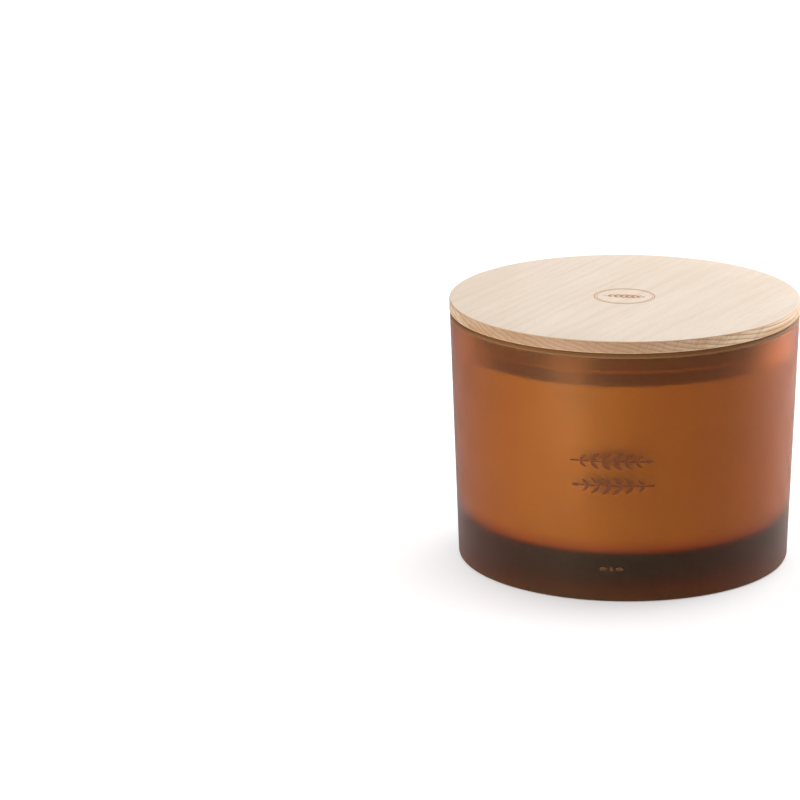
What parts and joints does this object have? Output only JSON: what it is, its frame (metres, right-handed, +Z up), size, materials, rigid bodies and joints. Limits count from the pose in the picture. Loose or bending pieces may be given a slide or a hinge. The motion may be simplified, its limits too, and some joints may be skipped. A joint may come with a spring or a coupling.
{
  "type": "candle jar",
  "caption": "Squat round candle jar of frosted amber glass, filled with wax and wicks, closed by a flat beech lid whose plug carries a silicone seal.",
  "frame": {"origin": "centre of the foot, on the surface that the jar stands on", "axes": "+Z up along the jar's axis, -Y towards the decorated front, +X to the right as seen from the front"},
  "size_m": [0.15, 0.15, 0.1138],
  "materials": {
    "frosted_amber_glass": "frosted outside, polished inside",
    "wax": "waxy, faintly mottled",
    "cotton": "braided, waxed",
    "tinned_steel": "pressed, satin",
    "adhesive_foam": "matte",
    "label_paper": "uncoated",
    "silicone": "translucent, satin",
    "beech": "sanded, unlacquered"
  },
  "bodies": {
    "jar": {"glass_jar": "frosted_amber_glass", "wax_fill": "wax", "wick_front_left": "cotton", "wick_front_right": "cotton", "wick_back": "cotton", "sustainer_front_left": "tinned_steel", "sustainer_front_right": "tinned_steel", "sustainer_back": "tinned_steel", "sticker_front_left": "adhesive_foam", "sticker_front_right": "adhesive_foam", "sticker_back": "adhesive_foam", "base_label": "label_paper"},
    "seal": {"lid_seal": "silicone"},
    "lid": {"lid_board": "beech"}
  },
  "joints": [
    {"name": "lid_lift", "type": "slide", "parent": "jar", "child": "seal", "axis": [0, 0, 1], "range_m": [0, 0.08]},
    {"name": "lid_turn", "type": "hinge", "parent": "seal", "child": "lid", "pos_m": [0, 0, 0.1], "axis": [0, 0, 1], "continuous": true}
  ]
}
